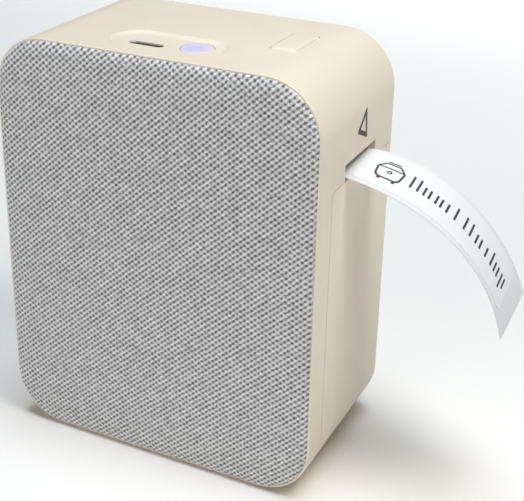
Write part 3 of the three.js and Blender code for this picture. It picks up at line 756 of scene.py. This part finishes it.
def usb_shell():
    """Deep-drawn steel shell of the socket, with a rolled mouth."""
    x0, x1, y0, y1, z0, z1 = span("usb_socket")
    floor_level = z0 + 1.6
    rings = []
    for z, inset in ((z0, 0), (z1 - 0.15, 0), (z1, 0.12), (z1 - 0.1, 0.3), (floor_level, 0.3)):
        outline = rectangle(x0 + inset, x1 - inset, y0 + inset, y1 - inset, (y1 - y0) / 2 - inset - 0.01, 10)
        rings.append([(x, y, z) for x, y in outline])
    made = loft("usb_shell", rings)
    shaded(made)
    return finished(made, "root", "steel", "usb_socket", material=SOCKET_STEEL)


def usb_tongue():
    """The tongue with a stepped tip and its contact strips."""
    x0, x1, y0, y1, z0, z1 = span("usb_tongue")
    made = block("usb_contact_tongue", x0, x1, y0, y1, z0, z1 - 0.6)
    combined(made, "UNION", block("tip", x0 + 0.2, x1 - 0.2, y0 + 0.12, y1 - 0.12, z1 - 1, z1))
    softened(made, 0.06)
    finished(made, "root", "dark_plastic", "usb_tongue", material=TONGUE_RESIN)
    low, high = z0 + 1.5, z1 - 0.8
    half_width, half_depth = 0.13, 0.02
    for side, y in (("front", y0), ("rear", y1)):
        points, faces = [], []
        for k in range(-5, 6):
            middle = (x0 + x1) / 2 + k * CONTACT_PITCH
            left, right = middle - half_width, middle + half_width
            first = len(points)
            for x, z in ((left, low), (right, low), (right, high), (left, high)):
                for dy in (-half_depth, half_depth):
                    points.append((x, y + dy, z))
            quad = [first + 2 * i for i in range(4)]
            other = [i + 1 for i in quad]
            faces += [tuple(quad), tuple(reversed(other))]
            faces += [(quad[i], other[i], other[(i + 1) % 4], quad[(i + 1) % 4]) for i in range(4)]
        strips = outward(mesh_object(f"usb_contacts_{side}", points, faces))
        finished(strips, "root", "steel")


# ---------------------------------------------------------------- fabric front

CLOTH_INSET = 1.05  # inset of the CAD cloth, from which its flat size is taken
CLOTH_THICK = 0.6
CLOTH_LINE = FRONT - 0.1  # where the wrapped edge starts to stand forward
CLOTH_BACK = span("grille_cloth")[3]
CLOTH_RIM = 0.9  # inset at which the flat knit gives way to the wrapped edge
CLOTH_EDGE = 0.54  # inset of the wrapped edge, close to the lip
CROWN = ((0.95, 0.75), (0.55, 5))  # rises of the cloth and how far from its edge each takes
KNIT_DEPTH = 0.2
CELL_ACROSS = 0.28
CELL_UP = 0.33


def crown(inset):
    """How far the cloth stands forward of its edge line, at an inset from the body's outline."""
    t = np.maximum(inset - CLOTH_EDGE, 0)
    return sum(rise * (1 - np.exp(-t / reach)) for rise, reach in CROWN)


def outline_distance(x, z):
    """Distance inside the body's outline, and the outward direction, for arrays of points."""
    middle = HEIGHT / 2
    qx = np.abs(x) - (SIDE - CORNER)
    qz = np.abs(z - middle) - (middle - CORNER)
    ax, az = np.maximum(qx, 0), np.maximum(qz, 0)
    reach = np.hypot(ax, az)
    outside = reach + np.minimum(np.maximum(qx, qz), 0) - CORNER
    nx = np.where(reach > 0, ax / np.maximum(reach, 1e-9), qx > qz)
    nz = np.where(reach > 0, az / np.maximum(reach, 1e-9), qx <= qz)
    return -outside, nx * np.sign(x), nz * np.sign(z - middle)


def grid_rim(quads):
    """The closed run of points round a patch of quads."""
    pairs = [np.sort(quads[:, [i, (i + 1) % 4]], 1) for i in range(4)]
    unique, uses = np.unique(np.concatenate(pairs), axis=0, return_counts=True)
    rim = unique[uses == 1].tolist()
    neighbours = {}
    for a, b in rim:
        neighbours.setdefault(a, []).append(b)
        neighbours.setdefault(b, []).append(a)
    start = rim[0][0]
    loop = [start, neighbours[start][0]]
    while True:
        here, before = loop[-1], loop[-2]
        ahead = [n for n in neighbours[here] if n != before][0]
        if ahead == start:
            return np.array(loop)
        loop.append(ahead)


def grille_cloth():
    """The knit: a grid with its own relief, wrapped round the edge to a smooth inner face."""
    columns = int(SIDE / CELL_ACROSS)
    rows = int(HEIGHT / CELL_UP)
    x, z = np.meshgrid(np.arange(-columns, columns + 1) * CELL_ACROSS, np.arange(rows + 1) * CELL_UP)
    wide = x.shape[1]
    inset, nx, nz = (a.ravel() for a in outline_distance(x, z))
    x, z = x.ravel(), z.ravel()
    inside = (inset >= CLOTH_RIM).reshape(rows + 1, wide)
    cells = inside[:-1, :-1] & inside[1:, :-1] & inside[:-1, 1:] & inside[1:, 1:]
    row, column = np.nonzero(cells)
    first = row * wide + column
    quads = np.stack([first, first + 1, first + wide + 1, first + wide], 1)
    loop = grid_rim(quads)
    # The stepped edge of the grid is drawn out to a smooth line
    move = inset[loop] - CLOTH_RIM
    x[loop] += nx[loop] * move
    z[loop] += nz[loop] * move
    inset[loop] = CLOTH_RIM
    fade = np.clip((inset - CLOTH_RIM) / 0.5, 0, 1)
    y = CLOTH_LINE - crown(inset) + KNIT_DEPTH * fade * (1 - weave_height(x, z))
    points = np.stack([x, y, z], 1)
    used = np.unique(quads)
    lookup = np.full(len(points), -1)
    lookup[used] = np.arange(len(used))
    vertices = points[used].tolist()
    faces = lookup[quads].tolist()
    ring = lookup[loop].tolist()
    half_way = (CLOTH_EDGE + CLOTH_RIM) / 2
    thick = CLOTH_INSET + CLOTH_THICK
    profile = [
        (half_way, CLOTH_LINE - float(crown(half_way))),
        (CLOTH_EDGE, CLOTH_LINE),
        (CLOTH_EDGE, CLOTH_BACK),
        (thick, CLOTH_BACK),
        (thick, CLOTH_LINE),
        (thick + 1.2, CLOTH_LINE - 0.6),
        (7.5, CLOTH_LINE - 0.85),
    ]
    for depth, place in profile:
        base = len(vertices)
        move = CLOTH_RIM - depth
        for i in loop:
            vertices.append((x[i] + nx[i] * move, place, z[i] + nz[i] * move))
        for k in range(len(ring)):
            n = (k + 1) % len(ring)
            faces.append((ring[k], ring[n], base + n, base + k))
        ring = list(range(base, base + len(loop)))
    middle = len(vertices)
    vertices.append((0, profile[-1][1] - 0.05, HEIGHT / 2))
    faces += [(ring[k], ring[(k + 1) % len(ring)], middle) for k in range(len(ring))]
    made = outward(mesh_object("grille_fabric", vertices, faces))
    made.data.polygons.foreach_set("use_smooth", [True] * len(made.data.polygons))
    finished(made, "root", "grille_fabric", "grille_cloth")
    return made


# ---------------------------------------------------------------- label strip and tape

STRIP_X0, _, STRIP_Y0, STRIP_Y1, _, _ = span("label_strip")
TAPE_LEVEL = 76.2
# Bezier points, in X and Z, of the tape's two edges
FRONT_EDGE = [(STRIP_X0, TAPE_LEVEL - 0.5), (47.7, 75.0), (71.4, 69.5), (76.6, 45.4)]
REAR_EDGE = [(STRIP_X0, TAPE_LEVEL), (55.6, 79.3), (71.9, 65.0), (77.2, 49.5)]
STRIP_LENGTH = 53.0
ROWS_OF_STRIP = 200


def bezier(points, t):
    a, b, c, d = (Vector(p) for p in points)
    s = 1 - t
    place = s**3 * a + 3 * s * s * t * b + 3 * s * t * t * c + t**3 * d
    along = s * s * (b - a) + 2 * s * t * (c - b) + t * t * (d - c)
    return place, along.normalized()


def even_steps(points, count=400):
    """The curve's own parameter at even shares of its length."""
    line = [bezier(points, k / count)[0] for k in range(count + 1)]
    run = np.cumsum([0] + [(b - a).length for a, b in zip(line, line[1:])])
    return run / run[-1]


EDGES = [(edge, even_steps(edge)) for edge in (FRONT_EDGE, REAR_EDGE)]


def on_strip(t, v, lift):
    """A point of the strip, at a share t of its length and v millimetres across from its middle."""
    width = STRIP_Y1 - STRIP_Y0
    share = v / width + 0.5
    ends = []
    for edge, run in EDGES:
        place, along = bezier(edge, float(np.interp(t, run, np.linspace(0, 1, len(run)))))
        ends.append((place.x - along.y * lift, place.y + along.x * lift))
    (x0, z0), (x1, z1) = ends
    return (
        x0 + (x1 - x0) * share,
        STRIP_Y0 + width * share,
        z0 + (z1 - z0) * share,
    )


def strip_patch(outline, low, high, name):
    """A thin sheet on the strip: rows of (t, v from, v to), from one lift to another."""
    vertices, faces = [], []
    across = 8
    for lift in (low, high):
        for t, v0, v1 in outline:
            for k in range(across + 1):
                vertices.append(on_strip(t, v0 + (v1 - v0) * k / across, lift))
    count = len(outline) * (across + 1)
    for r in range(len(outline) - 1):
        for k in range(across):
            a = r * (across + 1) + k
            b = a + across + 1
            faces.append((a, b, b + 1, a + 1))
            faces.append((count + a, count + a + 1, count + b + 1, count + b))
    rim = list(range(across + 1))
    rim += [r * (across + 1) + across for r in range(1, len(outline))]
    rim += [(len(outline) - 1) * (across + 1) + k for k in range(across - 1, -1, -1)]
    rim += [r * (across + 1) for r in range(len(outline) - 2, 0, -1)]
    for i, a in enumerate(rim):
        b = rim[(i + 1) % len(rim)]
        faces.append((a, b, count + b, count + a))
    return outward(mesh_object(name, vertices, faces))


def bar(t0, t1, v0, v1, radius, steps=6):
    """Rows of a bar with rounded ends, between t0 and t1 and between v0 and v1."""
    rows = []
    r = min(radius, (v1 - v0) / 2 - 0.01)
    rt = r / STRIP_LENGTH
    for k in range(steps + 1):
        angle = math.radians(90 * k / steps)
        inset = r * (1 - math.sin(angle))
        rows.append((t0 + rt * (1 - math.cos(angle)), v0 + inset, v1 - inset))
    inner = max(2, int((t1 - t0) * ROWS_OF_STRIP))
    for k in range(1, inner):
        rows.append((t0 + rt + (t1 - t0 - 2 * rt) * k / inner, v0, v1))
    return rows + [(t0 + t1 - t, a, b) for t, a, b in reversed(rows[: steps + 1])]


LINER_LOW, LINER_TOP, LABEL_TOP, INK_TOP = -0.17, -0.04, 0.09, 0.105  # lifts off the strip's middle
LABEL_START, LABEL_END = 0.078, 0.893
LABEL_MARGIN = 1.35
LABEL_ROUND = 1.6


def label_strip():
    """The liner with one label on it."""
    half = (STRIP_Y1 - STRIP_Y0) / 2
    rows = [(k / 96, -half, half) for k in range(97)]
    liner = strip_patch(rows, LINER_LOW, LINER_TOP, "label_liner")
    shaded(liner)
    finished(liner, "root", "label_tape", "label_strip")
    edge = half - LABEL_MARGIN
    outline = bar(LABEL_START, LABEL_END, -edge, edge, LABEL_ROUND, 8)
    label = strip_patch(outline, LINER_TOP, LABEL_TOP, "label_face")
    shaded(label)
    finished(label, "root", "label_tape", material=LABEL_FACE)


def inked(name, outer, inner):
    """A printed ring between two outlines, in millimetres from the label's start and middle."""
    rings = []
    for outline, lift in ((outer, LABEL_TOP), (outer, INK_TOP), (inner, INK_TOP), (inner, LABEL_TOP)):
        rings.append([on_strip(LABEL_START + s / STRIP_LENGTH, v, lift) for s, v in outline])
    made = loft(name, rings, closed=True)
    finished(made, "root", "label_tape", material=PRINT_INK)


def dense(outline, step=0.35):
    """An outline with more points along its straight runs, to follow the curve of the strip."""
    points = []
    for a, b in zip(outline, outline[1:] + outline[:1]):
        count = max(1, round(math.dist(a, b) / step))
        points += [(a[0] + (b[0] - a[0]) * k / count, a[1] + (b[1] - a[1]) * k / count) for k in range(count)]
    return points


SIGN_BOX = [(3.9, -3.1), (9.6, -3.1), (10.1, 1.2), (8.6, 3.1), (4.9, 3.1), (3.4, 1.2)]
SIGN_RADII = [1.5, 1.5, 0.8, 0.6, 0.6, 0.8]
SIGN_SHARE = 0.8504517  # size of the inner outline of its line
CATCH = (6.75, -0.2)
CATCH_RADII = (0.62, 0.25)
# Lid, handle and two feet: start, end, low and high
SIGN_BARS = (
    (3.7, 9.8, 1.05, 1.45),
    (5.2, 8.3, 3.35, 3.75),
    (4.7, 5.5, -3.7, -3.0),
    (8.1, 8.9, -3.7, -3.0),
)
TALL, SHORT, DEEP = (-1.9, 2.5), (-1.9, 1.2), (-3.2, 1.2)
# Places of the ticks, in thousandths of the strip
TICKS = (
    (305, TALL),
    (337, TALL),
    (366, SHORT),
    (391, SHORT),
    (423, SHORT),
    (447, SHORT),
    (478, SHORT),
    (521, TALL),
    (572, TALL),
    (607, TALL),
    (643, SHORT),
    (669, SHORT),
    (708, SHORT),
    (748, TALL),
    (775, SHORT),
    (799, SHORT),
    (828, DEEP),
    (852, SHORT),
)
TICK_HALF = 0.272
INK_ROUND = 0.15


def printed_marks():
    """A plain storage box sign and two groups of upright ticks, where a label has its picture and text."""
    middle = sum((Vector(c) for c in SIGN_BOX), Vector((0, 0))) / len(SIGN_BOX)
    outer = dense(rounded_corners(SIGN_BOX, SIGN_RADII))
    inked("label_ink_box", outer, [tuple(middle + (Vector(p) - middle) * SIGN_SHARE) for p in outer])
    turns = [2 * math.pi * k / 20 for k in range(20)]
    dot = [[(CATCH[0] + r * math.cos(a), CATCH[1] + r * math.sin(a)) for a in turns] for r in CATCH_RADII]
    inked("label_ink_catch", *dot)
    marks = []
    for start, end, low, high in SIGN_BARS:
        marks.append((LABEL_START + start / STRIP_LENGTH, LABEL_START + end / STRIP_LENGTH, low, high))
    half = TICK_HALF / STRIP_LENGTH
    for place, (low, high) in TICKS:
        marks.append((place / 1000 - half, place / 1000 + half, low, high))
    for i, mark in enumerate(marks):
        outline = bar(*mark, INK_ROUND, 3)
        ink = strip_patch(outline, LABEL_TOP, INK_TOP, f"label_ink_{i + 1:02d}")
        finished(ink, "root", "label_tape", material=PRINT_INK)


MARK_CORNERS = [(-2.2, 83.3), (3.9, 80.5), (3.0, 88.0)]
MARK_SHARE = 0.5  # size of the inner outline of its line


def flank_mark():
    """A plain open triangle above the slot, printed on the flank."""
    outer = rounded_corners(MARK_CORNERS, [0.25] * 3, 3)
    middle = sum((Vector(c) for c in MARK_CORNERS), Vector((0, 0))) / 3
    inner = [tuple(middle + (Vector(p) - middle) * MARK_SHARE) for p in outer]
    x0, x1 = SIDE - 0.01, SIDE + 0.02
    rings = [[(x, y, z) for y, z in line] for x, line in ((x0, outer), (x1, outer), (x1, inner), (x0, inner))]
    made = loft("cutter_mark", rings, closed=True)
    return finished(made, "root", "cream_shell", material=PRINT_INK)


# ---------------------------------------------------------------- mechanism

def ring_profile(inner, outer, a0, a1, chamfer):
    """A tube's closed profile with broken edges."""
    c = chamfer
    return [
        (inner, a0 + c),
        (inner + c, a0),
        (outer - c, a0),
        (outer, a0 + c),
        (outer, a1 - c),
        (outer - c, a1),
        (inner + c, a1),
        (inner, a1 - c),
    ]


def rod_profile(radius, a0, a1, chamfer):
    """A rod's closed profile with broken ends."""
    c = chamfer
    return [(0, a0), (radius - c, a0), (radius, a0 + c), (radius, a1 - c), (radius - c, a1), (0, a1)]


def axis_of(node):
    """The middle of a node's box in X and Z."""
    x0, x1, _, _, z0, z1 = span(node)
    return (x0 + x1) / 2, (z0 + z1) / 2


def turned_pieces():
    """Round pieces that the open door shows, each on its CAD node's axis."""
    # Node, body, slot, radius of the bore and chamfer
    rings = (
        ("label_roll", "label_roll", "label_tape", 9.4, 0.12),
        ("roll_core", "label_roll", "core_board", 7.7, 0.15),
        ("roll_spindle", "root", "gear_plastic", 4.0, 0.4),
        ("platen_roller", "platen", "platen_rubber", 1.5, 0.2),
        ("front_bushing", "root", "gear_plastic", 1.3, 0.2),
        ("rear_bushing", "root", "gear_plastic", 1.3, 0.2),
    )
    for node, body, slot, bore, chamfer in rings:
        x0, x1, y0, y1, _, _ = span(node)
        profile = ring_profile(bore, (x1 - x0) / 2, y0, y1, chamfer)
        made = turned(node + "_turned", profile, "Y", axis_of(node), 96)
        shaded(made)
        material = WOUND_TAPE if node == "label_roll" else None
        finished(made, body, slot, node, material=material)
    rods = (
        ("tape_guide", "root", "gear_plastic"),
        ("platen_shaft", "platen", "steel"),
        ("idler_pin_1", "root", "steel"),
        ("idler_pin_2", "root", "steel"),
        ("lever_pin", "root", "steel"),
        ("head_pivot_pin", "root", "steel"),
        ("motor_shaft", "motor_rotor", "steel"),
    )
    for node, body, slot in rods:
        x0, x1, y0, y1, _, _ = span(node)
        radius = (x1 - x0) / 2
        profile = rod_profile(radius, y0, y1, min(0.3, radius / 4))
        made = turned(node + "_turned", profile, "Y", axis_of(node), 48)
        shaded(made)
        finished(made, body, slot, node)
    x0, x1, _, _, z0, z1 = span("door_hinge_pin")
    profile = rod_profile((x1 - x0) / 2, z0, z1, 0.15)
    pin = turned("door_hinge_pin_turned", profile, "Z", HINGE, 32)
    shaded(pin)
    finished(pin, "root", "steel", "door_hinge_pin")


NODE_EDGE = 0.12


def smoothed_nodes():
    """The CAD pieces that stay: their flat facets are merged and their edges broken."""
    for part in SUBPARTS:
        node = NODES[part["node"]]
        if node.hide_render:
            continue
        weld = node.modifiers.new("weld", "WELD")
        weld.merge_threshold = 1e-6
        planar = node.modifiers.new("planar", "DECIMATE")
        planar.decimate_type = "DISSOLVE"
        planar.angle_limit = math.radians(1)
        edge = node.modifiers.new("edge", "BEVEL")
        edge.width = NODE_EDGE * MM
        edge.segments = 2
        edge.limit_method = "ANGLE"
        edge.angle_limit = math.radians(40)


def painted_nodes():
    """Every CAD piece takes the finish of its slot in the record."""
    for part in SUBPARTS:
        node = NODES[part["node"]]
        node.data.materials.clear()
        node.data.materials.append(MATERIALS[part["material_slot"]])


# ---------------------------------------------------------------- studio

FLOOR_SIZE = 3.0
FLOOR_PAPER = ((0.945, 0.91, 0.86), (0.955, 0.92, 0.87))
BACKDROP_COLOR = (0.70, 0.74, 0.80, 1)


def floor():
    """Pale paper under the object."""
    half = FLOOR_SIZE / 2
    level = CAD_BOX[0].z - 0.0002
    corners = [(-half, -half, level), (half, -half, level), (half, half, level), (-half, half, level)]
    made = mesh_object("floor", corners, [(0, 1, 2, 3)], 1)
    material = bpy.data.materials.new("floor_paper")
    tree, shader, add = value_nodes(material)
    soft = mixed(add, ranged(add, grain(add, 60, 2), 0, 1), *FLOOR_PAPER)
    tree.links.new(soft, shader.inputs["Base Color"])
    shader.inputs["Roughness"].default_value = 0.9
    shader.inputs["Specular IOR Level"].default_value = 0.1
    made.data.materials.append(material)


def softbox(name, place, toward, size, watts, color, spread_degrees=180):
    """A rectangular light at a place, turned toward a point."""
    data = bpy.data.lights.new(name, "AREA")
    data.shape = "RECTANGLE"
    data.size, data.size_y = size
    data.energy = watts
    data.color = color
    data.spread = math.radians(spread_degrees)
    made = bpy.data.objects.new(name, data)
    made.location = place
    made.rotation_mode = "QUATERNION"
    made.rotation_quaternion = (Vector(toward) - Vector(place)).to_track_quat("-Z", "Y")
    bpy.context.scene.collection.objects.link(made)


def sky_panel(strength, color, width_degrees=30):
    """An overhead light so far and wide that it falls evenly on the whole floor."""
    data = bpy.data.lights.new("sky_panel", "SUN")
    data.energy = strength
    data.color = color
    data.angle = math.radians(width_degrees)
    made = bpy.data.objects.new("sky_panel", data)
    made.location = (0, 0, 2)
    bpy.context.scene.collection.objects.link(made)


def studio():
    """Pale floor, a near key from the upper right, a broad front fill, light from above and a lit ground."""
    floor()
    middle = (0.0, 0.0, 0.05)
    key = {"size": (0.15, 0.15), "watts": 0.88, "color": (1, 0.965, 0.925)}
    softbox("key", (0.19, -0.05, 0.40), middle, **key)
    fill = {"size": (1.3, 1.1), "watts": 8.2, "color": (1, 0.96, 0.93)}
    softbox("front_fill", (-0.55, -1.3, 0.6), middle, **fill)
    sky_panel(strength=1.9, color=(0.75, 0.875, 1))
    backdrop = {"size": (1.4, 0.7), "watts": 8.0, "color": (1, 0.99, 0.98), "spread_degrees": 90}
    softbox("backdrop", (0.2, 1.0, 0.8), (0.2, 1.0, 0), **backdrop)
    world = bpy.data.worlds.new("studio")
    world.use_nodes = True
    background = world.node_tree.nodes["Background"]
    background.inputs["Color"].default_value = BACKDROP_COLOR
    background.inputs["Strength"].default_value = 1.0
    # The backdrop beyond the floor lights nothing
    seen_by = world.cycles_visibility
    seen_by.diffuse = False
    seen_by.glossy = False
    seen_by.transmission = False
    bpy.context.scene.world = world


# ---------------------------------------------------------------- assembly

painted_nodes()
housing_shell()
tape_door()
power_button()
cutter_button()
usb_shell()
usb_tongue()
grille_cloth()
label_strip()
printed_marks()
flank_mark()
turned_pieces()
smoothed_nodes()
studio()
